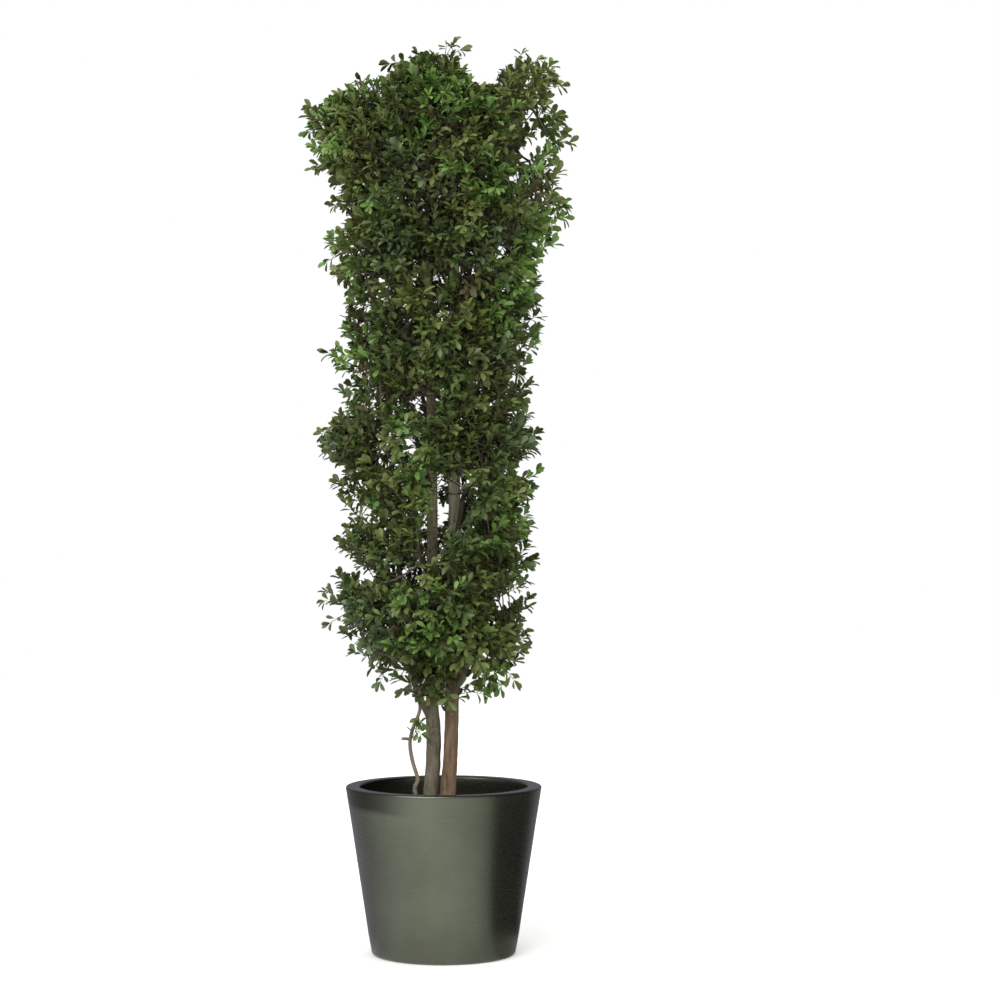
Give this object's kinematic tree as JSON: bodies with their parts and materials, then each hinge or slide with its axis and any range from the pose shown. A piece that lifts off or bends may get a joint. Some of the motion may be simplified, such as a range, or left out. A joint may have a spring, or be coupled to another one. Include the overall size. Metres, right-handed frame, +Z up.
{
  "type": "potted preserved pittosporum tree",
  "caption": "Tall preserved pittosporum with bare twin stems and a thin sucker under a dense leafy column, standing in a round tapered metal-finish planter.",
  "frame": {"origin": "middle of the planter's flat underside", "axes": "+Z up along the stems, +X to the right of the plant as the picture shows it, -Y its front"},
  "size_m": [0.6946, 0.5825, 2.3411],
  "materials": {
    "planter": "satin",
    "soil": "matte",
    "red_bark": "matte",
    "grey_bark": "matte",
    "leaves": "satin"
  },
  "bodies": {
    "root": {"planter": "planter", "soil_fill": "soil", "stem_right": "red_bark", "stem_left": "grey_bark", "stem_sucker": "grey_bark", "bough_01": "grey_bark", "bough_02": "grey_bark", "bough_03": "grey_bark", "bough_04": "grey_bark", "bough_05": "grey_bark", "bough_06": "grey_bark", "bough_07": "grey_bark", "bough_08": "grey_bark", "bough_09": "grey_bark", "bough_10": "grey_bark", "bough_11": "grey_bark", "bough_12": "grey_bark", "bough_13": "grey_bark", "bough_14": "grey_bark", "bough_15": "grey_bark", "bough_16": "grey_bark", "bough_17": "grey_bark", "bough_18": "grey_bark", "bough_head_right": "grey_bark", "foliage_01": "leaves", "foliage_02": "leaves", "foliage_03": "leaves", "foliage_04": "leaves", "foliage_05": "leaves", "foliage_06": "leaves", "foliage_07": "leaves", "foliage_08": "leaves", "foliage_09": "leaves", "foliage_10": "leaves", "foliage_11": "leaves", "foliage_12": "leaves", "foliage_13": "leaves", "foliage_14": "leaves", "foliage_15": "leaves", "foliage_16": "leaves", "foliage_17": "leaves", "foliage_18": "leaves", "foliage_head": "leaves", "foliage_head_left": "leaves", "foliage_head_right": "leaves", "foliage_low": "leaves"}
  },
  "joints": []
}
